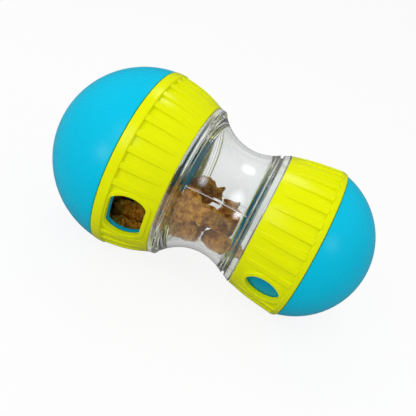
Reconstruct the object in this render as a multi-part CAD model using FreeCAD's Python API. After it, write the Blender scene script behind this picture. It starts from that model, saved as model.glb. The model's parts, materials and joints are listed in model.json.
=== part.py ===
import FreeCAD, Part
import math
import os

os.makedirs("parts", exist_ok=True)

# Treat ball: two hollow balls of different size, joined by a clear waisted tube.
# Each ball is a ribbed collar that screws on the tube, and a domed cap that turns in the collar.
# The cap's inner sleeve is a shutter: it opens or closes the outlet window in the collar.
# All sizes are in millimetres. "a" is a distance along the axis from the narrowest place of the
# waist, "r" is a distance from the axis. The large ball lies towards -X, the small one towards +X.

# balls
large_ball_radius = 47.5
small_ball_radius = 40.2
large_ball_centre = 46.9
small_ball_centre = 37.8

# clear tube
waist_radius = 29.3
waist_arc_radius = 25.0
tube_wall = 3.0
large_flange_face = 24.0
small_flange_face = 19.1
large_flange_thickness = 3.5
small_flange_thickness = 3.9
large_flange_height = 11.9
small_flange_height = 6.7
large_flange_draft = 0.6
small_flange_draft = 2.2
flange_edge_round = 0.8
groove_width = 1.3
groove_depth = 1.2
bead_round = 0.4
neck_wall = 1.9
neck_thread_space = 0.9
large_neck_length = 4.2
small_neck_length = 5.0

# collars: the rim band stands proud of the ball's surface. The ribbed shell lies a step below
# that surface at the rim's foot, bulges over its chord, and ends a small lift over the flange.
collar_wall = 2.2
large_seam = 51.5
small_seam = 47.3
large_rim_length = 5.1
small_rim_length = 3.0
large_rim_proud = 0.15
small_rim_proud = 0.55
rim_edge_round = 0.45
large_collar_step = 1.6
small_collar_step = 0.97
large_collar_bulge = 1.1
small_collar_bulge = 0.6
large_collar_lift = 0.1
small_collar_lift = -0.3
end_wall = 1.5
thread_ring_wall = 1.4
large_rib_count = 36
small_rib_count = 32
large_rib_width = 3.6
small_rib_width = 4.0
rib_height = 0.9
rib_belly = 0.72
rib_fade = 1.6

# outlet windows: each ends at a distance from the collar's end and from the rim band
large_window_to_end = 4.0
large_window_to_rim = 0.9
large_window_width = 23.5
large_window_flat = 15.9
large_window_corner = 3.0
large_window_below = 10.0
small_window_to_end = 6.2
small_window_to_rim = 1.2
small_window_width = 13.6
small_window_below = 20.0
window_border = 2.3
window_border_height = 0.8
shutter_inset = 0.5
large_shutter_turn = 40.0
small_shutter_turn = 32.0

# domes and their shutter sleeves
dome_wall = 2.4
sleeve_wall = 1.8
snap_bead_height = 0.7
snap_bead_width = 1.6
snap_bead_setback = 2.6

# turn stops: a key in each collar runs in a slot in the end of the shutter sleeve
key_width = 4.0
key_length = 2.0
key_root = 0.2

# clearances
seam_gap = 0.3
sleeve_gap = 0.3
ring_gap = 0.4
flange_gap = 0.2

# fish-shaped biscuits
biscuit_thickness = 8.0
biscuit_body_radius = 9.0
biscuit_tail_reach = 14.0
biscuit_tail_root = 3.4
biscuit_tail_width = 11.0
biscuit_tail_notch = 1.6
biscuit_edge = 1.6

biscuit_length = biscuit_body_radius + biscuit_tail_reach

# radii that follow from these: the flanges stand over the waist and taper to their outer edge
large_flange_radius = waist_radius + large_flange_height
small_flange_radius = waist_radius + small_flange_height
large_flange_root_radius = large_flange_radius - large_flange_draft
small_flange_root_radius = small_flange_radius - small_flange_draft

axis_line = FreeCAD.Vector(1, 0, 0)
origin = FreeCAD.Vector(0, 0, 0)


def arc_circle(p, q, s):
    """Centre and radius of the circle through three (a, r) points."""
    d = 2 * (p[0] * (q[1] - s[1]) + q[0] * (s[1] - p[1]) + s[0] * (p[1] - q[1]))
    pp = p[0] ** 2 + p[1] ** 2
    qq = q[0] ** 2 + q[1] ** 2
    ss = s[0] ** 2 + s[1] ** 2
    a = (pp * (q[1] - s[1]) + qq * (s[1] - p[1]) + ss * (p[1] - q[1])) / d
    r = (pp * (s[0] - q[0]) + qq * (p[0] - s[0]) + ss * (q[0] - p[0])) / d
    return a, r, math.hypot(p[0] - a, p[1] - r)


def radius_at(circle, a, inward=0.0):
    """Distance from the axis of a profile circle, set inwards by a wall, at the station a."""
    ca, cr, rho = circle
    return cr + math.sqrt((rho - inward) ** 2 - (a - ca) ** 2)


def make_end(side, ball_radius, ball_centre, face, end_radius, step, bulge, seam, rim_length,
             rim_proud, neck_length, rib_count, rib_width):
    """Stations and radii of one end of the toy, worked out from the driving dimensions."""
    foot = seam - rim_length
    foot_radius = radius_at((ball_centre, 0.0, ball_radius), foot) - step
    middle = ((face + foot) / 2, (end_radius + foot_radius) / 2 + bulge)
    shell = arc_circle((face, end_radius), middle, (foot, foot_radius))
    end_face = face + flange_gap
    sleeve_end = end_face + end_wall + seam_gap
    to_sleeve = collar_wall + sleeve_gap
    ring_outer = radius_at(shell, sleeve_end, to_sleeve + sleeve_wall) - ring_gap
    ring_inner = ring_outer - thread_ring_wall
    neck_radius = ring_inner - neck_thread_space
    return {
        "side": side, "ball_radius": ball_radius, "ball_centre": ball_centre, "shell": shell,
        "face": face, "end_face": end_face, "foot": foot, "seam": seam, "rim_proud": rim_proud,
        "sleeve_end": sleeve_end, "to_sleeve": to_sleeve, "ring_outer": ring_outer,
        "ring_inner": ring_inner, "ring_end": face + neck_length, "neck_radius": neck_radius,
        "neck_bore": neck_radius - neck_wall, "rib_count": rib_count, "rib_width": rib_width,
    }


large = make_end(-1, large_ball_radius, large_ball_centre, large_flange_face,
                 large_flange_radius + large_collar_lift, large_collar_step, large_collar_bulge,
                 large_seam, large_rim_length, large_rim_proud, large_neck_length,
                 large_rib_count, large_rib_width)
small = make_end(1, small_ball_radius, small_ball_centre, small_flange_face,
                 small_flange_radius + small_collar_lift, small_collar_step, small_collar_bulge,
                 small_seam, small_rim_length, small_rim_proud, small_neck_length,
                 small_rib_count, small_rib_width)


def point(side, a, r):
    return FreeCAD.Vector(side * a, 0, r)


def profile_face(side, path):
    """Face in the X-Z half plane. path holds (a, r) corners; a corner with two more numbers
    (a, r, ma, mr) is reached by an arc through (ma, mr)."""
    edges = []
    start = path[0]
    for stop in path[1:] + [path[0]]:
        p = point(side, start[0], start[1])
        q = point(side, stop[0], stop[1])
        if len(stop) == 4:
            edges.append(Part.Arc(p, point(side, stop[2], stop[3]), q).toShape())
        elif p.distanceToPoint(q) > 1e-6:
            edges.append(Part.LineSegment(p, q).toShape())
        start = stop
    return Part.Face(Part.Wire(edges))


def arc_to(circle, a_from, a_to, inward=0.0):
    """Corner at a_to that is reached along a profile circle from a_from."""
    middle = (a_from + a_to) / 2
    return (a_to, radius_at(circle, a_to, inward), middle, radius_at(circle, middle, inward))


def turned(face, degrees=360.0):
    solid = face.revolve(origin, axis_line, degrees)
    if solid.Volume < 0:
        solid.reverse()
    return solid


def round_edges(solid, radius, places):
    """Rounds the full circles that lie at the given (x, r) places."""
    chosen = []
    for edge in solid.Edges:
        if not hasattr(edge.Curve, "Radius") or len(edge.Vertexes) != 1:
            continue
        for x, r in places:
            if abs(edge.Curve.Center.x - x) < 0.02 and abs(edge.Curve.Radius - r) < 0.02:
                chosen.append(edge)
    return solid.makeFillet(radius, chosen)


def aim(shape, below):
    """Turns what points along +Z about the axis, to face -Y and lie below the horizontal."""
    shape.rotate(origin, axis_line, 90 + below)
    return shape


def ball_circle(end, grown=0.0):
    return end["ball_centre"], 0.0, end["ball_radius"] + grown


# clear tube with its flanges and necks

def waist_at(a, inward=0.0):
    """Radius of the concave waist, or of its bore when inward is the wall."""
    rho = waist_arc_radius + inward
    return waist_radius + waist_arc_radius - math.sqrt(rho ** 2 - a ** 2)


def bore_station(neck_bore):
    """Where the bore that follows the waist reaches the straight bore of a neck."""
    drop = waist_radius + waist_arc_radius - neck_bore
    return math.sqrt((waist_arc_radius + tube_wall) ** 2 - drop ** 2)


def clear_tube():
    large_back = large_flange_face - large_flange_thickness
    small_back = small_flange_face - small_flange_thickness
    large_bead = large_back - groove_width
    small_bead = small_back - groove_width
    large_floor = waist_at(large_bead) - groove_depth
    small_floor = waist_at(small_bead) - groove_depth
    large_bore = bore_station(large["neck_bore"])
    small_bore = bore_station(small["neck_bore"])
    path = [
        (-large_flange_face, large["neck_radius"]),
        (-large_flange_face, large_flange_radius),
        (-large_back, large_flange_root_radius),
        (-large_back, large_floor),
        (-large_bead, large_floor),
        (-large_bead, waist_at(large_bead)),
        (small_bead, waist_at(small_bead), 0, waist_radius),
        (small_bead, small_floor),
        (small_back, small_floor),
        (small_back, small_flange_root_radius),
        (small_flange_face, small_flange_radius),
        (small_flange_face, small["neck_radius"]),
        (small["ring_end"], small["neck_radius"]),
        (small["ring_end"], small["neck_bore"]),
        (small_bore, small["neck_bore"]),
        (-large_bore, large["neck_bore"], 0, waist_radius - tube_wall),
        (-large["ring_end"], large["neck_bore"]),
        (-large["ring_end"], large["neck_radius"]),
    ]
    solid = turned(profile_face(1, path))
    solid = round_edges(solid, flange_edge_round, [
        (-large_flange_face, large_flange_radius), (-large_back, large_flange_root_radius),
        (small_flange_face, small_flange_radius), (small_back, small_flange_root_radius)])
    return round_edges(solid, bead_round, [
        (-large_bead, waist_at(large_bead)), (small_bead, waist_at(small_bead))])


# turn stops, opposite the windows

def wall_sector(end, start, stop, inner, outer, first, last, below):
    """Piece of a ring between two stations and two depths under the collar's surface."""
    shell = end["shell"]
    path = [
        (start, radius_at(shell, start, inner)),
        (start, radius_at(shell, start, outer)),
        arc_to(shell, start, stop, outer),
        (stop, radius_at(shell, stop, inner)),
        arc_to(shell, stop, start, inner),
    ]
    solid = turned(profile_face(end["side"], path), last - first)
    solid.rotate(origin, axis_line, first)
    return aim(solid, below + 180)


def turn_key(end, below):
    """Key on the inside of the collar, level with the sleeve's inner face."""
    start = end["end_face"] + end_wall - key_root
    stop = end["sleeve_end"] + key_length
    half = key_width / 2
    return wall_sector(end, start, stop, end["to_sleeve"] + sleeve_wall, collar_wall - key_root,
                       -half, half, below)


def key_slot(end, below, turn):
    """Slot that the key leaves free for the cap to turn; turn is about +X, with its sign."""
    stop = end["sleeve_end"] + key_length + seam_gap
    start = end["sleeve_end"] - seam_gap
    play = key_width / 2 + math.degrees(seam_gap / end["ring_outer"])
    return wall_sector(end, start, stop, end["to_sleeve"] + 2 * sleeve_wall, collar_wall,
                       min(0, -turn) - play, max(0, -turn) + play, below)


# collars

def collar_ring(end):
    """The collar without ribs: shell, rim band, end wall and the ring that holds the thread."""
    shell = end["shell"]
    rim = ball_circle(end, end["rim_proud"])
    inner = collar_wall
    bead = end["seam"] - snap_bead_setback
    half = snap_bead_width / 2 + sleeve_gap
    depth = snap_bead_height + sleeve_gap
    floor = radius_at(shell, bead, inner) + depth - sleeve_gap
    wall_inside = end["end_face"] + end_wall
    path = [
        (end["end_face"], end["ring_inner"]),
        (end["end_face"], radius_at(shell, end["end_face"])),
        arc_to(shell, end["end_face"], end["foot"]),
        (end["foot"], radius_at(rim, end["foot"])),
        arc_to(rim, end["foot"], end["seam"]),
        (end["seam"], radius_at(shell, end["seam"], inner)),
        (bead + half, radius_at(shell, bead + half, inner)),
        (bead + half, floor),
        (bead - half, floor),
        (bead - half, radius_at(shell, bead - half, inner)),
        arc_to(shell, bead - half, wall_inside, inner),
        (wall_inside, end["ring_outer"]),
        (end["ring_end"], end["ring_outer"]),
        (end["ring_end"], end["ring_inner"]),
    ]
    solid = turned(profile_face(end["side"], path))
    return round_edges(solid, rim_edge_round, [
        (end["side"] * end["foot"], radius_at(rim, end["foot"])),
        (end["side"] * end["seam"], radius_at(rim, end["seam"]))])


def rib(end):
    """One raised grip rib, centred on +Z. It is highest at the rim band and fades out."""
    shell = end["shell"]
    start = end["end_face"] + rib_fade
    stop = end["foot"] + rim_edge_round
    middle = (start + end["foot"]) / 2
    path = [
        (start, radius_at(shell, start, rib_height)),
        (start, radius_at(shell, start)),
        (stop, radius_at(shell, stop) + rib_height, middle,
         radius_at(shell, middle) + rib_belly),
        (stop, radius_at(shell, stop, rib_height)),
        arc_to(shell, stop, start, rib_height),
    ]
    face = profile_face(end["side"], path)
    face.rotate(origin, axis_line, -end["rib_width"] / 2)
    return turned(face, end["rib_width"])


def grip_ribs(end, below, first_offset, left_out):
    """The ring of ribs, counted from the window, without the ones that the window replaces."""
    pitch = 360.0 / end["rib_count"]
    ribs = []
    for index in range(end["rib_count"]):
        offset = (index + first_offset) * pitch
        around = min(offset, 360 - offset)
        if around < left_out * pitch:
            continue
        copy = rib(end)
        copy.rotate(origin, axis_line, offset)
        ribs.append(aim(copy, below))
    return ribs


def window_span(end, to_end, to_rim):
    """Middle and length of a window between the collar's end wall and its rim band."""
    start = end["end_face"] + to_end
    stop = end["foot"] - to_rim
    return (start + stop) / 2, stop - start


def prism(end, edges, centre):
    """Stands an outline, drawn with X along the axis, up through the wall over +Z."""
    reach = FreeCAD.Vector(0, 0, 2 * end["ball_radius"])
    solid = Part.Face(Part.Wire(edges)).extrude(reach)
    solid.translate(FreeCAD.Vector(end["side"] * centre, 0, 0))
    return solid


def round_window(end, centre, length, corner, inset):
    """Prism of the large window: a circle cut off flat across the axis on both sides."""
    across = large_window_width / 2
    along = length / 2
    flat = large_window_flat / 2
    rise = (across ** 2 - along ** 2 - flat ** 2) / (2 * (across - flat))
    radius = across - rise - inset
    along -= inset
    flat = rise + math.sqrt(radius ** 2 - along ** 2)
    top = rise + radius
    ends = [FreeCAD.Vector(x, y, 0) for x, y in
            ((-along, -flat), (-along, flat), (along, flat), (along, -flat))]
    edges = [
        Part.LineSegment(ends[0], ends[1]).toShape(),
        Part.Arc(ends[1], FreeCAD.Vector(0, top, 0), ends[2]).toShape(),
        Part.LineSegment(ends[2], ends[3]).toShape(),
        Part.Arc(ends[3], FreeCAD.Vector(0, -top, 0), ends[0]).toShape(),
    ]
    solid = prism(end, edges, centre)
    upright = [e for e in solid.Edges if abs(e.tangentAt(e.FirstParameter).z) > 0.99]
    return solid.makeFillet(corner, upright)


def oval_window(end, centre, length, inset):
    """Prism of the small window: an ellipse that is longest along the axis."""
    along = length / 2 - inset
    across = small_window_width / 2 - inset
    ellipse = Part.Ellipse(origin, max(along, across), min(along, across)).toShape()
    if across > along:
        ellipse.rotate(origin, FreeCAD.Vector(0, 0, 1), 90)
    return prism(end, [ellipse], centre)


def border_zone(end, low, high):
    """Layer over the shell that the raised border of a window is cut from."""
    shell = end["shell"]
    path = [
        (low, radius_at(shell, low, window_border_height)),
        arc_to(shell, low, high, window_border_height),
        (high, radius_at(shell, high, -window_border_height)),
        arc_to(shell, high, low, -window_border_height),
    ]
    return turned(profile_face(end["side"], path))


def windowed_collar(end, window, border, below, first_offset, left_out, centre, length):
    reach = length / 2 + window_border
    zone = border_zone(end, centre - reach, min(centre + reach, end["foot"] + rim_edge_round))
    raised = [zone.common(border), turn_key(end, below)]
    solid = collar_ring(end).fuse(grip_ribs(end, below, first_offset, left_out) + raised)
    return solid.cut(window).removeSplitter()


# domes

def dome(end, shutter_window, slot):
    """Cap and shutter sleeve in one piece, with the snap bead that holds it in the collar."""
    shell = end["shell"]
    ball = ball_circle(end)
    cavity = ball_circle(end, -dome_wall)
    shoulder = end["seam"] + seam_gap
    back = shoulder + dome_wall
    pole = end["ball_centre"] + end["ball_radius"]
    outside = end["to_sleeve"]
    inside = outside + sleeve_wall
    bead = end["seam"] - snap_bead_setback
    half = snap_bead_width / 2
    crown = radius_at(shell, bead, outside) + snap_bead_height
    bend = math.pi / 4
    outer_mid = (end["ball_centre"] + ball[2] * math.cos(bend), ball[2] * math.sin(bend))
    inner_mid = (end["ball_centre"] + cavity[2] * math.cos(bend), cavity[2] * math.sin(bend))
    path = [
        (pole, 0),
        (shoulder, radius_at(ball, shoulder)) + outer_mid,
        (shoulder, radius_at(shell, shoulder, outside)),
        (bead + half, radius_at(shell, bead + half, outside)),
        (bead + half / 2, crown),
        (bead - half / 2, crown),
        (bead - half, radius_at(shell, bead - half, outside)),
        arc_to(shell, bead - half, end["sleeve_end"], outside),
        (end["sleeve_end"], radius_at(shell, end["sleeve_end"], inside)),
        arc_to(shell, end["sleeve_end"], back, inside),
        (back, radius_at(cavity, back)),
        (end["ball_centre"] + cavity[2], 0) + inner_mid,
    ]
    solid = turned(profile_face(end["side"], path))
    return solid.cut([shutter_window, slot])


# biscuits

def biscuit():
    """One fish-shaped biscuit, flat, with its middle at the origin and its tail towards +X."""
    root = biscuit_tail_root
    joint = math.sqrt(biscuit_body_radius ** 2 - root ** 2)
    half = biscuit_tail_width / 2
    corners = [
        FreeCAD.Vector(joint, root, 0),
        FreeCAD.Vector(biscuit_tail_reach, half, 0),
        FreeCAD.Vector(biscuit_tail_reach - biscuit_tail_notch, 0, 0),
        FreeCAD.Vector(biscuit_tail_reach, -half, 0),
        FreeCAD.Vector(joint, -root, 0),
    ]
    edges = [Part.LineSegment(p, q).toShape() for p, q in zip(corners, corners[1:])]
    nose = FreeCAD.Vector(-biscuit_body_radius, 0, 0)
    edges.append(Part.Arc(corners[-1], nose, corners[0]).toShape())
    slab = Part.Face(Part.Wire(edges)).extrude(FreeCAD.Vector(0, 0, biscuit_thickness))
    rims = [e for e in slab.Edges if abs(e.Vertexes[0].Z - e.Vertexes[-1].Z) < 1e-6]
    solid = slab.makeChamfer(biscuit_edge, rims)
    middle = (biscuit_tail_reach - biscuit_body_radius) / 2
    solid.translate(FreeCAD.Vector(-middle, 0, -biscuit_thickness / 2))
    return solid


def in_ball(wall, height, along, around, spin):
    """Biscuit lying in the large ball, at a height over the wall under it and along from the
    lowest point, turned by around about the vertical."""
    depth = wall - height * biscuit_thickness
    polar = math.degrees(along * biscuit_length / depth)
    solid = biscuit()
    solid.rotate(origin, FreeCAD.Vector(0, 0, 1), spin - around)
    solid.translate(FreeCAD.Vector(0, 0, -depth))
    solid.rotate(origin, FreeCAD.Vector(0, 1, 0), -polar)
    solid.rotate(origin, FreeCAD.Vector(0, 0, 1), around)
    solid.translate(FreeCAD.Vector(-large_ball_centre, 0, 0))
    return solid


def in_tube(setback, height, across, spin, tip=0.0):
    """Biscuit lying in the tube, set back from the large neck's end, at a height over the bore.
    across is its way round the bore towards -Y, and tip lifts one end."""
    station = setback * biscuit_length - large["ring_end"]
    depth = waist_at(station, tube_wall) - height * biscuit_thickness
    solid = biscuit()
    solid.rotate(origin, FreeCAD.Vector(0, 0, 1), spin)
    solid.rotate(origin, FreeCAD.Vector(0, 1, 0), tip)
    solid.translate(FreeCAD.Vector(station, 0, -depth))
    solid.rotate(origin, axis_line, -math.degrees(across * biscuit_length / depth))
    return solid


# Each row places one biscuit by hand: the lowest lie on the wall, the others on them.
# Heights are in biscuit thicknesses, and distances along a wall in biscuit lengths.
over_sleeve = radius_at(large["shell"], large_ball_centre, large["to_sleeve"] + sleeve_wall)
over_dome = large_ball_radius - dome_wall
ball_biscuits = [
    (over_sleeve, 0.6628, 0.05509, 180, 20),
    (over_sleeve, 0.6628, 1.129, 72, 100),
    (over_sleeve, 0.6628, 1.157, 125, 200),
    (over_dome, 0.675, 1.145, 182, 72),
    (over_sleeve, 0.6628, 1.157, 239, 150),
    (over_sleeve, 0.6628, 1.129, 288, 250),
    (over_sleeve, 1.875, 0.5955, 67.5, 100),
    (over_dome, 2.238, 0.6192, 180, 130),
    (over_sleeve, 1.863, 0.5876, 296.5, 60),
    (over_sleeve, 3.213, 0.09652, 200, 75),
]
tube_biscuits = [
    (0.5565, 0.8769, -1.106, 12, -10),
    (0.5565, 0.8769, -0.1451, 190, -12),
    (0.5565, 0.9019, 0.7913, 174, -10),
    (1.383, 0.779, -0.5854, 100),
    (1.574, 0.8209, 0.3331, 10),
    (0.5652, 0.8731, 1.68, 8, -10),
    (1.0, 1.85, 0.4, 100),
]

# whole toy

nodes = {}
nodes["clear_tube"] = clear_tube()

large_middle, large_length = window_span(large, large_window_to_end, large_window_to_rim)
large_prism = round_window(large, large_middle, large_length, large_window_corner, 0.0)
large_border = round_window(large, large_middle, large_length,
                            large_window_corner + window_border, -window_border)
nodes["large_collar"] = windowed_collar(
    large, aim(large_prism, large_window_below), aim(large_border, large_window_below),
    large_window_below, 0.0, 1.5, large_middle, large_length)

small_middle, small_length = window_span(small, small_window_to_end, small_window_to_rim)
small_prism = oval_window(small, small_middle, small_length, 0.0)
small_border = oval_window(small, small_middle, small_length, -window_border)
nodes["small_collar"] = windowed_collar(
    small, aim(small_prism, small_window_below), aim(small_border, small_window_below),
    small_window_below, 0.5, 1.0, small_middle, small_length)

large_shutter = round_window(large, large_middle, large_length, large_window_corner, shutter_inset)
nodes["large_dome"] = dome(large, aim(large_shutter, large_window_below),
                           key_slot(large, large_window_below, large_shutter_turn))
small_shutter = oval_window(small, small_middle, small_length, shutter_inset)
nodes["small_dome"] = dome(small, aim(small_shutter, small_window_below + small_shutter_turn),
                           key_slot(small, small_window_below, -small_shutter_turn))

for number, place in enumerate(ball_biscuits, 1):
    nodes["biscuit_%02d" % number] = in_ball(*place)
for number, place in enumerate(tube_biscuits, len(ball_biscuits) + 1):
    nodes["biscuit_%02d" % number] = in_tube(*place)

# The toy lies on its two balls, so its axis slopes down to the small one.
# The origin is under the middle of the box round the whole toy, on the surface it lies on.
large_touch = radius_at(ball_circle(large, large_rim_proud), large["foot"])
small_touch = radius_at(ball_circle(small, small_rim_proud), small["foot"])
slope = math.atan2(large_touch - small_touch, large["foot"] + small["foot"])
rest_height = large_touch * math.cos(slope) - large["foot"] * math.sin(slope)
low_end = -large_ball_centre * math.cos(slope) - large_ball_radius
high_end = small_ball_centre * math.cos(slope) + small_ball_radius
to_origin = FreeCAD.Vector(-(low_end + high_end) / 2, 0, rest_height)

for name, shape in nodes.items():
    shape.rotate(origin, FreeCAD.Vector(0, 1, 0), math.degrees(slope))
    shape.translate(to_origin)
    shape.exportStep("parts/%s.step" % name)
    print(name, len(shape.Solids), shape.isValid(), round(shape.Volume, 1))
print("slope", round(math.degrees(slope), 3), "waist centre", to_origin)
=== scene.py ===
import bmesh
import bpy
import json
import math
from mathutils import Matrix, Vector


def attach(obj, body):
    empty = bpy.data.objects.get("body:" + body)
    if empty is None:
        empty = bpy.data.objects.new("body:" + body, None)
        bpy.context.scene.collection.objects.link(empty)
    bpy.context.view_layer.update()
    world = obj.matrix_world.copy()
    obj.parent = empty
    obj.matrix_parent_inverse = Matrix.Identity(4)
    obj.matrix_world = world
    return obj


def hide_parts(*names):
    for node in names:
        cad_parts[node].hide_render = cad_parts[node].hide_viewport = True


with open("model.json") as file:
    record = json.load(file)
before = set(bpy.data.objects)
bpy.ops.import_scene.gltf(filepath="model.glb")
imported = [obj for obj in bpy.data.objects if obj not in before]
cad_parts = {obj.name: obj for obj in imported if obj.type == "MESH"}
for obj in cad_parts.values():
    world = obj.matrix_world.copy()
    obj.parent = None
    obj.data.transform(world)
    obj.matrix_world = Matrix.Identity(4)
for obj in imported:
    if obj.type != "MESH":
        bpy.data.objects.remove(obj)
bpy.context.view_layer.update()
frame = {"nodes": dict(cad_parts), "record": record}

scene = bpy.context.scene
mm = 0.001
mergeDistance = 0.001 * mm
weldDistance = 0.002 * mm

# The toy's own frame: X runs down the toy's axis to the small ball, and the waist's middle is its origin.
toyCentre = Vector(frame["record"]["mounts"][0]["pos_m"])
toyAxis = Vector(frame["record"]["mounts"][0]["axis"]).normalized()
toyUp = toyAxis.cross(Vector((0, 1, 0)))


def axesMatrix(x, y, z, place):
    return Matrix.Translation(place) @ Matrix((x, y, z)).transposed().to_4x4()


toyMatrix = axesMatrix(toyAxis, Vector((0, 1, 0)), toyUp, toyCentre)
print("frame loaded")


# camera

cameraSettings = {
    "elevation": 30.0,      # degrees over the toy's axis, seen from -Y
    "swing": 4.77,          # degrees towards the small ball
    "roll": 27.35,          # degrees, the axis falls to the right
    "distance": 282.0 * mm,
    "aimAlong": -8.5 * mm,  # from the waist's middle
    "aimRight": 1.26 * mm,
    "aimDown": 7.3 * mm,
    "lens": 47.34, "sensor": 36.0, "near": 0.01, "far": 10.0,
}


def addCamera(s):
    lift, swing, roll = [math.radians(s[key]) for key in ("elevation", "swing", "roll")]
    side = toyUp * math.sin(lift) - Vector((0, math.cos(lift), 0))
    back = toyAxis * math.sin(swing) + side * math.cos(swing)
    across = toyAxis * math.cos(swing) - side * math.sin(swing)
    down = -toyUp * math.cos(lift) - Vector((0, math.sin(lift), 0))
    right = across * math.cos(roll) - down * math.sin(roll)
    up = -across * math.sin(roll) - down * math.cos(roll)
    place = toyCentre + toyAxis * s["aimAlong"] + across * s["aimRight"] + down * s["aimDown"]
    place = place + back * s["distance"]
    data = bpy.data.cameras.new("camera")
    data.lens = s["lens"]
    data.sensor_width = s["sensor"]
    data.clip_start = s["near"]
    data.clip_end = s["far"]
    camera = bpy.data.objects.new("camera", data)
    camera.matrix_world = axesMatrix(right, up, back, place)
    scene.collection.objects.link(camera)
    scene.camera = camera


addCamera(cameraSettings)
print("camera set")


# small helpers for node trees

def connect(tree, node, values):
    # links each socket to another node's, or sets its own value
    for socket, value in values.items():
        if isinstance(value, bpy.types.NodeSocket):
            tree.links.new(value, node.inputs[socket])
        else:
            node.inputs[socket].default_value = value


def addNode(tree, kind, values=None, **settings):
    node = tree.nodes.new(kind)
    for name, value in settings.items():
        setattr(node, name, value)
    connect(tree, node, values or {})
    return node


def math1(tree, operation, a, b=0.0, c=0.0, clamp=False):
    node = addNode(tree, "ShaderNodeMath", {0: a, 1: b, 2: c}, operation=operation, use_clamp=clamp)
    return node.outputs[0]


def product(tree, first, *factors):
    for factor in factors:
        first = math1(tree, "MULTIPLY", first, factor)
    return first


def math3(tree, operation, a, b=(0, 0, 0)):
    # math1 for vectors
    node = addNode(tree, "ShaderNodeVectorMath", {0: a, 1: b}, operation=operation)
    return node.outputs["Value" if operation in ("DOT_PRODUCT", "LENGTH", "DISTANCE") else "Vector"]


def mapped(tree, value, low, high, toLow=0.0, toHigh=1.0):
    node = addNode(tree, "ShaderNodeMapRange", {
        "Value": value, "From Min": low, "From Max": high, "To Min": toLow, "To Max": toHigh})
    return node.outputs[0]


def noise(tree, place, scale, detail=2.0, roughness=0.5):
    node = addNode(tree, "ShaderNodeTexNoise", {
        "Vector": place, "Scale": scale, "Detail": detail, "Roughness": roughness})
    return node.outputs[0]


def bumped(tree, height, strength, distance):
    node = addNode(tree, "ShaderNodeBump", {"Height": height, "Strength": strength, "Distance": distance})
    return node.outputs["Normal"]


def blend(tree, share, first, second):
    # sockets 6 and 7 are the two colours of a mix node
    node = addNode(tree, "ShaderNodeMix", {0: share, 6: first, 7: second}, data_type="RGBA")
    return node.outputs[2]


def grey(value):
    return value, value, value, 1


def objectPlace(tree):
    return addNode(tree, "ShaderNodeTexCoord").outputs["Object"]


def fromWaist(tree, place):
    # the way to a place from the waist's middle, and its part along the toy's axis
    away = math3(tree, "SUBTRACT", place, toyCentre)
    return away, math3(tree, "DOT_PRODUCT", away, toyAxis)


def mixShader(tree, share, first, second):
    return addNode(tree, "ShaderNodeMixShader", {0: share, 1: first.outputs[0], 2: second.outputs[0]})


def endMaterial(tree, shader):
    connect(tree, tree.nodes["Material Output"], {"Surface": shader.outputs[0]})


def newTree(name, kind, inputs, outputs):
    tree = bpy.data.node_groups.new(name, kind)
    for way, sockets in (("INPUT", inputs), ("OUTPUT", outputs)):
        for socket, what in sockets.items():
            tree.interface.new_socket(socket, in_out=way, socket_type="NodeSocket" + what)
    return tree, addNode(tree, "NodeGroupInput").outputs


def endTree(tree, geometry, material):
    # a geometry tree gives out one plain mesh of one material
    plain = addNode(tree, "GeometryNodeRealizeInstances", {0: geometry})
    painted = addNode(tree, "GeometryNodeSetMaterial", {"Geometry": plain.outputs[0], "Material": material})
    addNode(tree, "NodeGroupOutput", {0: painted.outputs[0]})


def modify(piece, kind, **settings):
    modifier = piece.modifiers.new(kind.lower(), kind)
    for name, value in settings.items():
        setattr(modifier, name, value)
    return modifier


def addGeometryTree(piece, tree, values):
    modifier = modify(piece, "NODES", node_group=tree)
    for item in tree.interface.items_tree:
        if item.in_out == "INPUT" and item.name in values:
            modifier[item.identifier] = values[item.name]


def runTree(name, tree, values):
    # the plain mesh that a geometry tree makes
    holder = tempObject(name + "Holder", bpy.data.meshes.new(name + "Holder"))
    addGeometryTree(holder, tree, values)
    mesh = applied(holder)
    bpy.data.objects.remove(holder)
    mesh.name = name
    return mesh


def applied(piece):
    # the piece's mesh after its modifiers
    graph = bpy.context.evaluated_depsgraph_get()
    return bpy.data.meshes.new_from_object(piece.evaluated_get(graph), depsgraph=graph)


def tempObject(name, mesh):
    piece = bpy.data.objects.new(name, mesh)
    scene.collection.objects.link(piece)
    return piece


def meshOf(name, spots, faces, edges=()):
    mesh = bpy.data.meshes.new(name)
    mesh.from_pydata(spots, edges, faces)
    return mesh


def paint(mesh, material):
    mesh.materials.clear()
    mesh.materials.append(material)


def settled(name, work):
    # the mesh of a bmesh that is done with
    mesh = bpy.data.meshes.new(name)
    work.to_mesh(mesh)
    work.free()
    return mesh


def ringFaces(count, size, closed=False):
    # the faces between rings of points that follow each other
    return [(i * size + j, i * size + (j + 1) % size,
             (i + 1) % count * size + (j + 1) % size, (i + 1) % count * size + j)
            for i in range(count if closed else count - 1) for j in range(size)]


def joined(name, meshes, material):
    # one mesh of several closed ones, with all normals outwards, moved out of the toy's own frame
    work = bmesh.new()
    for mesh in meshes:
        part = bmesh.new()
        part.from_mesh(mesh)
        bmesh.ops.remove_doubles(part, verts=part.verts, dist=weldDistance)
        bmesh.ops.recalc_face_normals(part, faces=part.faces)
        for face in part.faces:
            face.smooth = True
            face.material_index = 0
        clean = settled("clean", part)
        work.from_mesh(clean)
        bpy.data.meshes.remove(clean)
    result = settled(name, work)
    paint(result, material)
    result.transform(toyMatrix)
    print(name, len(result.polygons), "faces")
    return result


def placePiece(name, mesh, body, node):
    piece = tempObject(name, mesh)
    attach(piece, body)
    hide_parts(node)


# profiles: lists of (a, r) in mm, a along the axis from the waist, r from the axis

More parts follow.
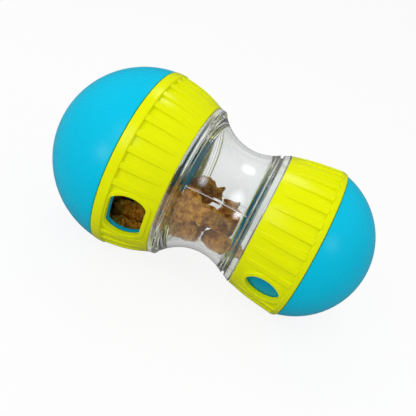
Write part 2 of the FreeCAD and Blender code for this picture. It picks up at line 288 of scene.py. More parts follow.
def circleThrough(p, q, s):
    d = 2 * (p[0] * (q[1] - s[1]) + q[0] * (s[1] - p[1]) + s[0] * (p[1] - q[1]))
    pp = p[0] ** 2 + p[1] ** 2
    qq = q[0] ** 2 + q[1] ** 2
    ss = s[0] ** 2 + s[1] ** 2
    a = (pp * (q[1] - s[1]) + qq * (s[1] - p[1]) + ss * (p[1] - q[1])) / d
    r = (pp * (s[0] - q[0]) + qq * (p[0] - s[0]) + ss * (q[0] - p[0])) / d
    return a, r, math.hypot(p[0] - a, p[1] - r)


def radiusAt(circle, a, inward=0.0):
    return circle[1] + math.sqrt(max(0.0, (circle[2] - inward) ** 2 - (a - circle[0]) ** 2))


def corner(circle, a, rounding, inward=0.0):
    return a, radiusAt(circle, a, inward), rounding


def between(start, stop, count):
    # evenly spaced stations, both ends left out
    return [start + (stop - start) * i / count for i in range(1, count)]


def along(circle, start, stop, inward=0.0, step=1.2):
    stations = between(start, stop, max(2, round(abs(stop - start) / step)))
    return [corner(circle, a, 0, inward) for a in stations]


def aroundBall(circle, start, stop, count):
    # points on a ball's profile between two angles from the pole
    return [(circle[0] + circle[2] * math.cos(start + (stop - start) * i / count),
             circle[2] * math.sin(start + (stop - start) * i / count), 0) for i in range(count + 1)]


def rounded(path, closed=False, longest=1.6, segments=4, support=0.12):
    # rounds each corner by its third number, holds it with support points, and cuts long stretches up
    most = 0.45         # share of a stretch that one corner may take
    points = []
    count = len(path)
    for i, knot in enumerate(path):
        here = Vector(knot[:2])
        inner = closed or 0 < i < count - 1
        if not knot[2] or not inner:
            points.append(here)
            continue
        before = Vector(path[i - 1][:2]) - here
        after = Vector(path[(i + 1) % count][:2]) - here
        turn = math.pi - before.angle(after)
        reach = knot[2] * math.tan(turn / 2)
        reach = min(reach, most * before.length, most * after.length)
        start = here + before.normalized() * reach
        stop = here + after.normalized() * reach
        if before.length > reach + 3 * support:
            points.append(start + before.normalized() * support)
        for k in range(segments + 1):
            t = k / segments
            points.append(start.lerp(here, t).lerp(here.lerp(stop, t), t))
        if after.length > reach + 3 * support:
            points.append(stop + after.normalized() * support)
    if closed:
        points.append(points[0].copy())
    filled = [points[0]]
    for point in points[1:]:
        start = filled[-1]
        pieces = max(1, math.ceil((point - start).length / longest))
        filled += [start.lerp(point, k / pieces) for k in range(1, pieces + 1)]
    return filled


# turned pieces: the lathe tree turns a profile round the axis

def makeLathe():
    tree, given = newTree("lathe", "GeometryNodeTree", {
        "Profile": "Object", "Steps": "Int", "Thread Height": "Float", "Thread Pitch": "Float",
        "Material": "Material"}, {"Geometry": "Geometry"})
    profile = addNode(tree, "GeometryNodeObjectInfo", {"Object": given["Profile"]}).outputs["Geometry"]
    size = addNode(tree, "GeometryNodeAttributeDomainSize", {0: profile}, component="MESH")
    columns = math1(tree, "ADD", given["Steps"], 1.0)
    grid = addNode(tree, "GeometryNodeMeshGrid", {
        "Vertices X": size.outputs["Point Count"], "Vertices Y": columns})
    index = addNode(tree, "GeometryNodeInputIndex").outputs[0]
    row = math1(tree, "FLOOR", math1(tree, "DIVIDE", math1(tree, "ADD", index, 0.5), columns))
    column = math1(tree, "SUBTRACT", index, product(tree, row, columns))
    turn = math1(tree, "DIVIDE", column, given["Steps"])
    place = addNode(tree, "GeometryNodeInputPosition").outputs[0]
    sample = addNode(tree, "GeometryNodeSampleIndex", {
        "Geometry": profile, "Value": place, "Index": row}, data_type="FLOAT_VECTOR")
    point = addNode(tree, "ShaderNodeSeparateXYZ", {0: sample.outputs[0]}).outputs
    winding = math1(tree, "SUBTRACT", math1(tree, "DIVIDE", point["X"], given["Thread Pitch"]), turn)
    wave = math1(tree, "COSINE", product(tree, winding, 2 * math.pi))
    ridge = math1(tree, "POWER", math1(tree, "MULTIPLY_ADD", wave, 0.5, 0.5), 2.0)
    lift = product(tree, ridge, given["Thread Height"], point["Z"])
    radius = math1(tree, "ADD", point["Y"], lift)
    angle = product(tree, turn, 2 * math.pi)
    y = product(tree, radius, math1(tree, "COSINE", angle))
    z = product(tree, radius, math1(tree, "SINE", angle))
    spot = addNode(tree, "ShaderNodeCombineXYZ", {"X": point["X"], "Y": y, "Z": z}).outputs[0]
    shape = addNode(tree, "GeometryNodeSetPosition", {"Geometry": grid.outputs["Mesh"], "Position": spot})
    merged = addNode(tree, "GeometryNodeMergeByDistance", {
        "Geometry": shape.outputs[0], "Distance": mergeDistance})
    endTree(tree, merged.outputs[0], given["Material"])
    return tree


latheTree = makeLathe()


def turnedMesh(name, points, side, steps, material, threaded=None, threadHeight=0.0, threadPitch=2.0):
    # threaded says, for a point (a, r), how much of the thread's height it takes
    spots = [(side * p[0] * mm, p[1] * mm, threaded(p[0], p[1]) if threaded else 0.0) for p in points]
    line = meshOf(name + "Profile", spots, [], [(i, i + 1) for i in range(len(spots) - 1)])
    profile = tempObject(name + "Profile", line)
    mesh = runTree(name, latheTree, {
        "Profile": profile, "Steps": steps, "Thread Height": threadHeight * mm,
        "Thread Pitch": threadPitch * mm, "Material": material})
    bpy.data.objects.remove(profile)
    bpy.data.meshes.remove(line)
    return mesh


# materials: what the two plastics share is in the skin group

skinSettings = {
    "grainDepth": 0.02 * mm,
    "cloudScale": 26.0, "cloudDetail": 3.0, "cloudRoughness": 0.6,
    "scratchStretch": (1.0, 9.0, 3.0), "scratchScale": 160.0, "scratchDetail": 4.0,
    "scratchFrom": 0.58, "scratchTo": 0.72,
    "index": 1.5,
}


def makeSkin(s):
    # the fine grain of moulded plastic, and where it is a little duller
    tree, given = newTree("mouldedSkin", "ShaderNodeTree", {
        "Grain Scale": "Float", "Roughness": "Float", "Variation": "Float", "Scuff": "Float"}, {
        "Height": "Float", "Roughness": "Float", "Cloud": "Float"})
    place = objectPlace(tree)
    grain = noise(tree, place, given["Grain Scale"])
    cloud = noise(tree, place, s["cloudScale"], s["cloudDetail"], s["cloudRoughness"])
    stretched = addNode(tree, "ShaderNodeMapping", {"Vector": place, "Scale": s["scratchStretch"]}).outputs[0]
    scratch = noise(tree, stretched, s["scratchScale"], s["scratchDetail"])
    scuffs = mapped(tree, scratch, s["scratchFrom"], s["scratchTo"])
    spread = product(tree, math1(tree, "SUBTRACT", cloud, 0.5), given["Variation"])
    marks = product(tree, scuffs, given["Scuff"])
    rough = math1(tree, "ADD", math1(tree, "ADD", given["Roughness"], spread), marks, clamp=True)
    addNode(tree, "NodeGroupOutput", {0: grain, 1: rough, 2: cloud})
    return tree


skinTree = makeSkin(skinSettings)


def newMaterial(name):
    material = bpy.data.materials.new(name)
    material.use_nodes = True
    return material, material.node_tree, material.node_tree.nodes["Principled BSDF"]


def makePlastic(name, s):
    # opaque moulded plastic: nearly even colour, fine grain, faint flow marks
    material, tree, shader = newMaterial(name)
    skin = addNode(tree, "ShaderNodeGroup", node_tree=skinTree)
    connect(tree, skin, {socket: s[socket] for socket in ("Grain Scale", "Roughness", "Variation", "Scuff")})
    colour = blend(tree, skin.outputs["Cloud"], (*s["deep"], 1), (*s["bright"], 1))
    if "shaded" in s:
        # between these two stations of the toy's axis it lies in the collars' shade
        station = fromWaist(tree, objectPlace(tree))[1]
        inside = product(tree, math1(tree, "GREATER_THAN", station, s["shadedFrom"]),
                         math1(tree, "LESS_THAN", station, s["shadedTo"]))
        colour = blend(tree, inside, colour, (*s["shaded"], 1))
    connect(tree, shader, {
        "Base Color": colour, "Roughness": skin.outputs["Roughness"],
        "Normal": bumped(tree, skin.outputs["Height"], s["grain"], skinSettings["grainDepth"]),
        "IOR": skinSettings["index"], "Specular IOR Level": s["gloss"]})
    return material


limePlastic = makePlastic("limePlastic", {
    "bright": (0.88, 0.95, 0.001), "deep": (0.83, 0.89, 0.0), "gloss": 0.18, "grain": 0.25,
    "Grain Scale": 1400.0, "Roughness": 0.14, "Variation": 0.10, "Scuff": 0.06,
})
cyanPlastic = makePlastic("cyanPlastic", {
    "bright": (0.0, 0.60, 0.87), "deep": (0.0, 0.56, 0.82), "gloss": 0.11, "grain": 0.25,
    "shaded": (0.0, 0.38, 0.61), "shadedFrom": -51.65 * mm, "shadedTo": 47.45 * mm,
    "Grain Scale": 1800.0, "Roughness": 0.25, "Variation": 0.10, "Scuff": 0.08,
})

clearSettings = {
    "tint": (0.975, 0.99, 0.99),
    "roughness": 0.0,
    "index": 1.52,
    # the slow ripple of a thick moulded wall
    "waves": 0.35, "waveScale": 55.0, "waveDetail": 1.5, "waveStrength": 0.6, "waveDepth": 0.25 * mm,
    "veil": 0.10,                           # how much of a lamp's light the walls keep
    # painted highlight: between these ends a near-white line is painted along the parting line, whose ridge
    # is real
    "seamWidth": 0.16 * mm, "seamMiddle": -2.4 * mm, "seamHalf": 15.3 * mm,
    "seamFrost": 0.75, "seamWhite": 0.95,
}


def makeClear(s, tube):
    material, tree, shader = newMaterial("clearPlastic")
    place = objectPlace(tree)
    height = product(tree, noise(tree, place, s["waveScale"], s["waveDetail"]), s["waves"])
    connect(tree, shader, {
        "Base Color": (*s["tint"], 1), "Roughness": s["roughness"], "IOR": s["index"],
        "Normal": bumped(tree, height, s["waveStrength"], s["waveDepth"]), "Transmission Weight": 1.0})
    # the line is where the waist's outer face meets the plane that parts the mould
    turn = math.radians(180.0 - tube["seamTurn"])
    across = Vector((0, -math.sin(turn), 0)) + toyUp * math.cos(turn)
    away, station = fromWaist(tree, place)
    beside = math3(tree, "DOT_PRODUCT", away, across)
    radius = math3(tree, "LENGTH", math3(tree, "CROSS_PRODUCT", away, toyAxis))
    inward = math1(tree, "SUBTRACT", radius, (tube["waistRadius"] + tube["waistArc"]) * mm)
    arm = addNode(tree, "ShaderNodeCombineXYZ", {"X": station, "Y": inward}).outputs[0]
    near = math1(tree, "LESS_THAN", math1(tree, "ABSOLUTE", beside), s["seamWidth"])
    outer = math1(tree, "LESS_THAN", math3(tree, "LENGTH", arm), (tube["waistArc"] + tube["wall"] / 2) * mm)
    beyond = math1(tree, "ABSOLUTE", math1(tree, "SUBTRACT", station, s["seamMiddle"]))
    line = product(tree, near, outer, math1(tree, "LESS_THAN", beyond, s["seamHalf"]), s["seamFrost"])
    # painted highlight: a near-white diffuse shader mixed into the clear plastic along the parting line
    paintedHighlight = addNode(tree, "ShaderNodeBsdfDiffuse", {"Color": grey(s["seamWhite"])})
    body = mixShader(tree, line, shader, paintedHighlight)
    # lamps shine through the walls
    pane = addNode(tree, "ShaderNodeBsdfTransparent", {"Color": grey(1 - s["veil"])})
    shadow = addNode(tree, "ShaderNodeLightPath").outputs["Is Shadow Ray"]
    endMaterial(tree, mixShader(tree, shadow, body, pane))
    return material


doughSettings = {
    # three colours by how well each spot is baked
    "toast": (0.38, 0.12, 0.005), "toastAt": 0.38,
    "crust": (0.66, 0.28, 0.018), "crustAt": 0.50,
    "pale": (0.84, 0.48, 0.07), "paleAt": 0.64,
    "bakeScale": 330.0, "bakeDetail": 8.0, "bakeRoughness": 0.6,
    # dark specks in some places
    "speck": (0.08, 0.03, 0.006), "speckScale": 620.0, "speckCore": 0.10, "speckRim": 0.22,
    "sparseScale": 420.0, "sparseFrom": 0.50, "sparseTo": 0.60,
    "grainScale": 1100.0, "grainDetail": 6.0, "grain": 1.0, "grainDepth": 0.7 * mm,
    "roughness": 0.85, "gloss": 0.10,
}


def makeDough(s):
    material, tree, shader = newMaterial("biscuitDough")
    place = objectPlace(tree)
    ramp = addNode(tree, "ShaderNodeValToRGB", {
        0: noise(tree, place, s["bakeScale"], s["bakeDetail"], s["bakeRoughness"])})
    stops = ramp.color_ramp.elements
    stops[0].position, stops[0].color = s["toastAt"], (*s["toast"], 1)
    stops[1].position, stops[1].color = s["paleAt"], (*s["pale"], 1)
    stops.new(s["crustAt"]).color = (*s["crust"], 1)
    grit = addNode(tree, "ShaderNodeTexVoronoi", {
        "Vector": place, "Scale": s["speckScale"]}).outputs["Distance"]
    specks = mapped(tree, grit, s["speckCore"], s["speckRim"], 1.0, 0.0)
    few = mapped(tree, noise(tree, place, s["sparseScale"]), s["sparseFrom"], s["sparseTo"])
    colour = blend(tree, product(tree, specks, few), ramp.outputs["Color"], (*s["speck"], 1))
    height = noise(tree, place, s["grainScale"], s["grainDetail"])
    connect(tree, shader, {
        "Base Color": colour, "Roughness": s["roughness"], "Specular IOR Level": s["gloss"],
        "Normal": bumped(tree, height, s["grain"], s["grainDepth"])})
    return material


biscuitDough = makeDough(doughSettings)
print("materials made")


# the two ends, worked out from the same sizes as the solids (mm)

# radii of the small corners
corners = {"groove": 0.15, "fine": 0.2, "ring": 0.25, "soft": 0.3, "shoulder": 0.35, "end": 0.4,
           "bore": 0.6, "step": 0.9}
clearTube = {
    "waistRadius": 29.3, "waistArc": 25.0, "wall": 3.0,
    "largeFace": 24.0, "largeFlange": 3.5, "largeEdge": 41.2, "largeRoot": 40.6,
    "smallFace": 19.1, "smallFlange": 3.9, "smallEdge": 36.0, "smallRoot": 33.8,
    "faceRound": 1.9, "flangeRound": 0.9,
    "grooveWidth": 1.3, "grooveDepth": 1.2, "beadRound": 0.7,
    "neckWall": 1.9, "neckSlack": 0.02,
    # where the small end's bore stops widening, and narrows
    "smallFlare": 12.5, "smallStep": 15.6, "smallSlope": 1.0,
    # each flange is hollow behind, as moulded parts are
    "recessRoot": 1.2, "recessWeb": 1.3, "recessRim": 2.0,
    "threadHeight": 0.6, "threadPitch": 1.9, "threadRise": 4.0, "threadLead": 0.4,
    # the mould's parting line, degrees up from -Y
    "seamTurn": 25.0, "seamHeight": 0.20,
    "steps": 288,
}
clearPlastic = makeClear(clearSettings, clearTube)
collarSizes = {
    "wall": 2.2, "endWall": 1.5, "endGap": 0.2, "endRound": 0.5, "rimRound": 0.7, "footRound": 0.2,
    "ringWall": 1.4, "ringGap": 0.4, "threadSpace": 0.9,
    "border": 2.3, "borderHeight": 0.8, "borderLean": 0.25, "borderSink": 0.5, "borderFoot": 1.1,
    "borderStep": 0.9, "borderProud": 0.02, "borderRound": 0.1, "lipRound": 0.45, "holeGrowth": 0.8,
    "keySink": 0.5, "keyOverlap": 0.3,
    "cutAbove": 6.0, "cutBelow": 1.0,
    "steps": 288,
}
ribSizes = {
    "height": 0.9, "rise": 2.32, "fade": 1.6, "round": 0.45, "sink": 0.6, "skirt": 0.35,
    "lean": 0.06, "support": 0.08,
    "narrow": 0.82, "widening": 3,      # share of its width that it starts with, and how soon it is full
    "lead": 0.06, "dip": 3.0,           # it starts under the shell
    "meetFrom": 0.55, "under": 0.5,     # it rises to meet the rim band, and ends under it
    "flat": 0.35, "rows": 26,
}
domeSizes = {
    "wall": 2.4, "sleeveWall": 1.8, "sleeveGap": 0.3, "seamGap": 0.3,
    "beadHeight": 0.7, "beadWidth": 1.6, "beadSetback": 2.6,
    "shutterInset": 0.5, "holeGrowth": 0.35,
    "edgeWidth": 0.7, "edgeRound": 0.25, "edgeHeel": 0.02, "edgeProud": 0.01,
    "keyWidth": 4.0, "keyLength": 2.0, "slotSteps": 24,
    "ballSteps": 64, "cavitySteps": 54, "steps": 256,
}


def workOutEnd(name, side, ball, centre, lift, bulge, step, seam, rim, proud, neck, **ribs):
    c, d = collarSizes, domeSizes
    face, edge = clearTube[name + "Face"], clearTube[name + "Edge"]
    foot = seam - rim
    footRadius = radiusAt((centre, 0.0, ball), foot) - step
    endRadius = edge + lift
    shell = circleThrough((face, endRadius), ((face + foot) / 2, (endRadius + footRadius) / 2 + bulge),
                          (foot, footRadius))
    endFace = face + c["endGap"]
    sleeveEnd = endFace + c["endWall"] + d["seamGap"]
    toSleeve = c["wall"] + d["sleeveGap"]
    ringOuter = radiusAt(shell, sleeveEnd, toSleeve + d["sleeveWall"]) - c["ringGap"]
    ringInner = ringOuter - c["ringWall"]
    return {
        "name": name, "side": side, "shell": shell, "ball": (centre, 0.0, ball),
        "rim": (centre, 0.0, ball + proud), "endFace": endFace, "foot": foot, "seam": seam,
        "sleeveEnd": sleeveEnd, "toSleeve": toSleeve, "ringOuter": ringOuter, "ringInner": ringInner,
        "ringEnd": face + neck, "neck": ringInner - c["threadSpace"], **ribs,
    }


largeEnd = workOutEnd("large", side=-1, ball=47.5, centre=46.9, lift=0.1, bulge=1.1, step=1.6,
                      seam=51.5, rim=5.1, proud=0.15, neck=4.2, ribs=36, ribWidth=4.0, ribMeet=0.35,
                      firstRib=0.0, leftOut=1.5)
smallEnd = workOutEnd("small", side=1, ball=40.2, centre=37.8, lift=-0.3, bulge=0.6, step=0.97,
                      seam=47.3, rim=3.0, proud=0.55, neck=5.0, ribs=32, ribWidth=4.6, ribMeet=0.55,
                      firstRib=0.5, leftOut=1.0)


# windows: an outline in (u, t), u along the axis and t round it, and rings swept along it

# below and sleeve: degrees from the front down to the collar's window and to the sleeve's at rest
largeWindow = {"toEnd": 4.0, "toRim": 0.9, "width": 23.5, "flat": 15.9, "corner": 3.0, "clear": 0.75,
               "below": 10.0, "sleeve": 10.0, "turn": 40.0}
smallWindow = {"toEnd": 6.2, "toRim": 1.2, "width": 13.6,
               "below": 20.0, "sleeve": 52.0, "turn": -32.0}
for end, window in ((largeEnd, largeWindow), (smallEnd, smallWindow)):
    window["start"] = end["endFace"] + window["toEnd"]
    window["stop"] = end["foot"] - window["toRim"]
    window["middle"] = (window["start"] + window["stop"]) / 2
    window["length"] = window["stop"] - window["start"]


def roundOutline(w, steps=24):
    # a circle cut off flat at both ends
    half, flat = w["length"] / 2, w["flat"] / 2
    arc = circleThrough((-half, flat), (0, w["width"] / 2), (half, flat))
    clear = half - w["clear"] * w["corner"]
    top = [clear - 2 * clear * i / steps for i in range(steps + 1)]
    path = [(half, -flat, w["corner"]), (half, flat, w["corner"])]
    path += [(u, radiusAt(arc, u), 0) for u in top]
    path += [(-half, flat, w["corner"]), (-half, -flat, w["corner"])]
    path += [(-u, -radiusAt(arc, u), 0) for u in top]
    return rounded(path, closed=True, longest=0.6, segments=8, support=0.4)[:-1]


def ovalOutline(w, count=108):
    turns = [2 * math.pi * i / count for i in range(count)]
    return [Vector((w["length"] / 2 * math.cos(t), w["width"] / 2 * math.sin(t))) for t in turns]


def grown(outline, amount):
    # the outline moved outwards along its normals
    result = []
    count = len(outline)
    for i, point in enumerate(outline):
        way = outline[(i + 1) % count] - outline[i - 1]
        result.append(point + Vector((way.y, -way.x)).normalized() * amount)
    return result


def onShell(end, window, point, height, below):
    # a point of the outline, at a height over the collar's shell
    a = window["middle"] + end["side"] * point.x
    r = radiusAt(end["shell"], a) + height
    turn = math.radians(90 + below)
    y, z = point.y, math.sqrt(r * r - point.y * point.y)
    return Vector((end["side"] * a,
                   y * math.cos(turn) - z * math.sin(turn),
                   y * math.sin(turn) + z * math.cos(turn))) * mm


def windowRing(name, end, window, outline, section, below):
    # a closed ring with the section (outwards, height) all along the outline
    points = rounded(section, closed=True, longest=0.8, segments=4, support=0.06)[:-1]
    rows = [grown(outline, p.x) for p in points]
    spots = [onShell(end, window, rows[j][i], points[j].y, below)
             for i in range(len(outline)) for j in range(len(points))]
    return meshOf(name, spots, ringFaces(len(outline), len(points), closed=True))


def cutWindow(mesh, end, window, outline, below, depth):
    # cuts a straight hole through one wall
    count = len(outline)
    low = [onShell(end, window, p, -depth - collarSizes["cutBelow"], below) for p in outline]
    high = [onShell(end, window, p, collarSizes["cutAbove"], below) for p in outline]
    caps = [tuple(reversed(range(count))), tuple(range(count, 2 * count))]
    return cutBy(mesh, meshOf("prism", low + high, ringFaces(2, count) + caps))


def turnOutwards(mesh):
    work = bmesh.new()
    work.from_mesh(mesh)
    bmesh.ops.recalc_face_normals(work, faces=work.faces)
    work.to_mesh(mesh)
    work.free()


def cutBy(mesh, cutterMesh):
    turnOutwards(cutterMesh)
    turnOutwards(mesh)
    body = tempObject("body", mesh)
    cutter = tempObject("cutter", cutterMesh)
    modify(body, "BOOLEAN", operation="DIFFERENCE", solver="EXACT", object=cutter)
    result = applied(body)
    bpy.data.objects.remove(cutter)
    bpy.data.objects.remove(body)
    return result


# collars

def collarProfile(end):
    c, d, k = collarSizes, domeSizes, corners
    shell, rim, wall = end["shell"], end["rim"], c["wall"]
    face, foot, seam, tip = [end[key] for key in ("endFace", "foot", "seam", "ringEnd")]
    bead = seam - d["beadSetback"]
    half = d["beadWidth"] / 2 + d["sleeveGap"]
    floor = radiusAt(shell, bead, wall) + d["beadHeight"]
    inside = face + c["endWall"]
    path = [(face, end["ringInner"], k["fine"]), corner(shell, face, c["endRound"])]
    path += along(shell, face, foot)
    path += [corner(shell, foot, c["footRound"]), corner(rim, foot, c["rimRound"])]
    path += along(rim, foot, seam)
    path += [corner(rim, seam, c["rimRound"]), corner(shell, seam, k["soft"], wall),
             corner(shell, bead + half, k["groove"], wall), (bead + half, floor, k["groove"]),
             (bead - half, floor, k["groove"]), corner(shell, bead - half, k["groove"], wall)]
    path += along(shell, bead - half, inside, wall)
    path += [corner(shell, inside, k["soft"], wall), (inside, end["ringOuter"], k["fine"]),
             (tip, end["ringOuter"], k["ring"]), (tip, end["ringInner"], k["ring"])]
    return rounded(path, closed=True)


def ribMesh(end):
    # one grip rib on +Z: it fades out to the tube and ends under the rim band
    s = ribSizes
    start, stop = end["endFace"] + s["fade"], end["foot"] + s["under"]
    across = math.radians(end["ribWidth"] / 2) * radiusAt(end["shell"], stop)
    rows, r = s["rows"], s["round"]
    spots, size = [], 0
    for i in range(rows):
        t = (1 + s["lead"]) * i / (rows - 1) - s["lead"]
        a = start + (stop - start) * t
        height = s["height"] * (1 - (1 - t) ** s["rise"]) if t > 0 else s["dip"] * t
        height += end["ribMeet"] * max(0.0, (t - s["meetFrom"]) / (1 - s["meetFrom"])) ** 2
        wide = across * (s["narrow"] + (1 - s["narrow"]) * min(1.0, max(0.0, t) * s["widening"]))
        half = [(wide + s["skirt"], -s["sink"]), (wide + s["lean"], height - r - s["support"])]
        half += [(wide - r + r * math.cos(k * math.pi / 6), height - r + r * math.sin(k * math.pi / 6))
                 for k in range(4)]
        half += [(wide - r - s["support"], height), (wide * s["flat"], height)]
        ring = half + [(-x, h) for x, h in reversed(half)]
        size = len(ring)
        for x, h in ring:
            base = radiusAt(end["shell"], a)
            spots.append(Vector((end["side"] * a, (base + h) * math.sin(x / base),
                                 (base + h) * math.cos(x / base))) * mm)
    caps = [tuple(range(size)), tuple((rows - 1) * size + j for j in reversed(range(size)))]
    return meshOf("rib", spots, ringFaces(rows, size) + caps)


def makeRibRing():
    tree, given = newTree("ribRing", "GeometryNodeTree", {
        "Rib": "Object", "Count": "Int", "First": "Float", "Left Out": "Float", "Turn": "Float",
        "Material": "Material"}, {"Geometry": "Geometry"})
    rib = addNode(tree, "GeometryNodeObjectInfo", {"Object": given["Rib"]}).outputs["Geometry"]
    line = addNode(tree, "GeometryNodeMeshLine", {"Count": given["Count"], "Offset": (0, 0, 0)})
    index = addNode(tree, "GeometryNodeInputIndex").outputs[0]
    pitch = math1(tree, "DIVIDE", 2 * math.pi, given["Count"])
    angle = product(tree, math1(tree, "ADD", index, given["First"]), pitch)
    around = math1(tree, "MINIMUM", angle, math1(tree, "SUBTRACT", 2 * math.pi, angle))
    slack = 0.01        # of a pitch, so that a rib right on the edge stays
    edge = product(tree, math1(tree, "SUBTRACT", given["Left Out"], slack), pitch)
    kept = math1(tree, "GREATER_THAN", around, edge)
    turn = math1(tree, "ADD", angle, given["Turn"])
    euler = addNode(tree, "ShaderNodeCombineXYZ", {"X": turn}).outputs[0]
    rotation = addNode(tree, "FunctionNodeEulerToRotation", {0: euler}).outputs[0]
    ring = addNode(tree, "GeometryNodeInstanceOnPoints", {
        "Points": line.outputs["Mesh"], "Selection": kept, "Instance": rib, "Rotation": rotation})
    endTree(tree, ring.outputs[0], given["Material"])
    return tree


ribRingTree = makeRibRing()


def onRing(end, a, r, turn):
    return Vector((end["side"] * a, -r * math.sin(turn), r * math.cos(turn))) * mm


def keyMesh(end, window):
    # the small key on the collar's end wall, opposite the window, that stops the turn
    c, d = collarSizes, domeSizes
    work = bmesh.new()
    for angle in (-d["keyWidth"] / 2, d["keyWidth"] / 2):
        turn = math.radians(270 + window["below"] + angle)
        for a in (end["endFace"] + c["keySink"], end["sleeveEnd"] + d["keyLength"]):
            work.verts.new(onRing(end, a, end["ringOuter"] - c["keyOverlap"], turn))
            outer = radiusAt(end["shell"], a, c["wall"] - c["keyOverlap"])
            work.verts.new(onRing(end, a, outer, turn))
    bmesh.ops.convex_hull(work, input=work.verts)
    return settled("key", work)


def makeCollar(name, end, window, body, node):
    c = collarSizes
    ring = turnedMesh(name + "Ring", collarProfile(end), end["side"], c["steps"], limePlastic)
    ring = cutWindow(ring, end, window, grown(window["outline"], c["holeGrowth"]), window["below"], c["wall"])
    ribObject = tempObject("rib", ribMesh(end))
    ribs = runTree(name + "Ribs", ribRingTree, {
        "Rib": ribObject, "Count": end["ribs"], "First": end["firstRib"], "Left Out": end["leftOut"],
        "Turn": math.radians(90 + window["below"]), "Material": limePlastic})
    bpy.data.objects.remove(ribObject)
    top, wide, lip, foot = c["borderHeight"], c["border"], c["lipRound"], c["borderFoot"]
    low, sharp = -c["wall"] - c["borderProud"], c["borderRound"]
    section = [(0.0, low, corners["soft"]), (0.0, top, lip), (wide - c["borderLean"], top, lip),
               (wide, -c["borderSink"], sharp), (foot, -c["borderStep"], 0), (foot, low, sharp)]
    border = windowRing(name + "Border", end, window, window["outline"], section, window["below"])
    mesh = joined(name, [ring, ribs, border, keyMesh(end, window)], limePlastic)
    placePiece(name, mesh, body, node)


# domes with their shutter sleeves

def domeProfile(end):
    d, k = domeSizes, corners
    shell, ball, seam, tip = [end[key] for key in ("shell", "ball", "seam", "sleeveEnd")]
    cavity = (ball[0], 0.0, ball[2] - d["wall"])
    shoulder = seam + d["seamGap"]
    back = shoulder + d["wall"]
    outside, inside = end["toSleeve"], end["toSleeve"] + d["sleeveWall"]
    bead, half = seam - d["beadSetback"], d["beadWidth"] / 2
    crown = radiusAt(shell, bead, outside) + d["beadHeight"]
    outerAngle = math.acos((shoulder - ball[0]) / ball[2])
    innerAngle = math.acos((back - cavity[0]) / cavity[2])
    path = aroundBall(ball, 0, outerAngle, d["ballSteps"])[:-1]
    path += [corner(ball, shoulder, k["shoulder"]), corner(shell, shoulder, k["fine"], outside),
             corner(shell, bead + half, k["soft"], outside), (bead + half / 2, crown, k["soft"]),
             (bead - half / 2, crown, k["soft"]), corner(shell, bead - half, k["soft"], outside)]
    path += along(shell, bead - half, tip, outside)
    path += [corner(shell, tip, k["end"], outside), corner(shell, tip, k["end"], inside)]
    path += along(shell, tip, back, inside)
    path += [corner(shell, back, k["end"], inside), corner(cavity, back, k["end"])]
    path += aroundBall(cavity, innerAngle, 0, d["cavitySteps"])[1:]
    return rounded(path)


def keySlotPrism(end, window):
    # the slot that the collar's key leaves free, opposite the window
    d, past, count = domeSizes, collarSizes["cutBelow"], domeSizes["slotSteps"]
    play = d["keyWidth"] / 2 + math.degrees(d["seamGap"] / end["ringOuter"])
    first, last = min(0, -window["turn"]) - play, max(0, -window["turn"]) + play
    start, stop = end["sleeveEnd"] - past, end["sleeveEnd"] + d["keyLength"] + d["seamGap"]
    spots = []
    for i in range(count + 1):
        turn = math.radians(270 + window["below"] + first + (last - first) * i / count)
        for a in (start, stop):
            for inward in (end["toSleeve"] - past, end["toSleeve"] + d["sleeveWall"] + past):
                spots.append(onRing(end, a, radiusAt(end["shell"], a) - inward, turn))
    faces = [(0, 1, 3, 2), tuple(4 * count + j for j in (2, 3, 1, 0))]
    for i in range(count):
        low, high = 4 * i, 4 * i + 4
        faces += [(low, high, high + 1, low + 1), (low + 2, low + 3, high + 3, high + 2),
                  (low, low + 2, high + 2, high), (low + 1, high + 1, high + 3, low + 3)]
    return meshOf("slot", spots, faces)


def makeDome(name, end, window, body, node):
    d = domeSizes
    hole = grown(window["outline"], -d["shutterInset"])
    shape = turnedMesh(name + "Shape", domeProfile(end), end["side"], d["steps"], cyanPlastic)
    shape = cutWindow(shape, end, window, grown(hole, d["holeGrowth"]), window["sleeve"],
                      end["toSleeve"] + d["sleeveWall"])
    shape = cutBy(shape, keySlotPrism(end, window))
    top = -end["toSleeve"] + d["edgeProud"]
    low = -end["toSleeve"] - d["sleeveWall"] - d["edgeProud"]
    section = [(0.0, low, d["edgeRound"]), (0.0, top, d["edgeRound"]),
               (d["edgeWidth"], top, d["edgeHeel"]), (d["edgeWidth"], low, d["edgeHeel"])]
    edge = windowRing(name + "Edge", end, window, hole, section, window["sleeve"])
    placePiece(name, joined(name, [shape, edge], cyanPlastic), body, node)


# clear tube

def waistAt(a, inward=0.0):
    rho = clearTube["waistArc"] + inward
    return clearTube["waistRadius"] + clearTube["waistArc"] - math.sqrt(rho ** 2 - a ** 2)


def boreStation(bore):
    drop = clearTube["waistRadius"] + clearTube["waistArc"] - bore
    return math.sqrt((clearTube["waistArc"] + clearTube["wall"]) ** 2 - drop ** 2)


def flangeProfile(end):
    # from the neck over the recess, the flange and the groove to the bead
    s, k = clearTube, corners
    face, flange, edge, root = [s[end["name"] + key] for key in ("Face", "Flange", "Edge", "Root")]
    back, neck = face - flange, end["neck"]
    bead = back - s["grooveWidth"]
    floor = waistAt(bead) - s["grooveDepth"]
    deep = flange - s["recessWeb"]
    outer, inner = edge - s["recessRim"], neck + s["recessRoot"]
    lower = outer - (edge - root) * deep / flange
    return [(face, neck, k["soft"]), (face, inner, k["soft"]), (face - deep, inner, k["end"]),
            (face - deep, lower, k["end"]), (face, outer, k["soft"]), (face, edge, s["faceRound"]),
            (back, root, s["flangeRound"]), (back, floor, k["ring"]), (bead, floor, k["ring"]),
            (bead, waistAt(bead), s["beadRound"])]


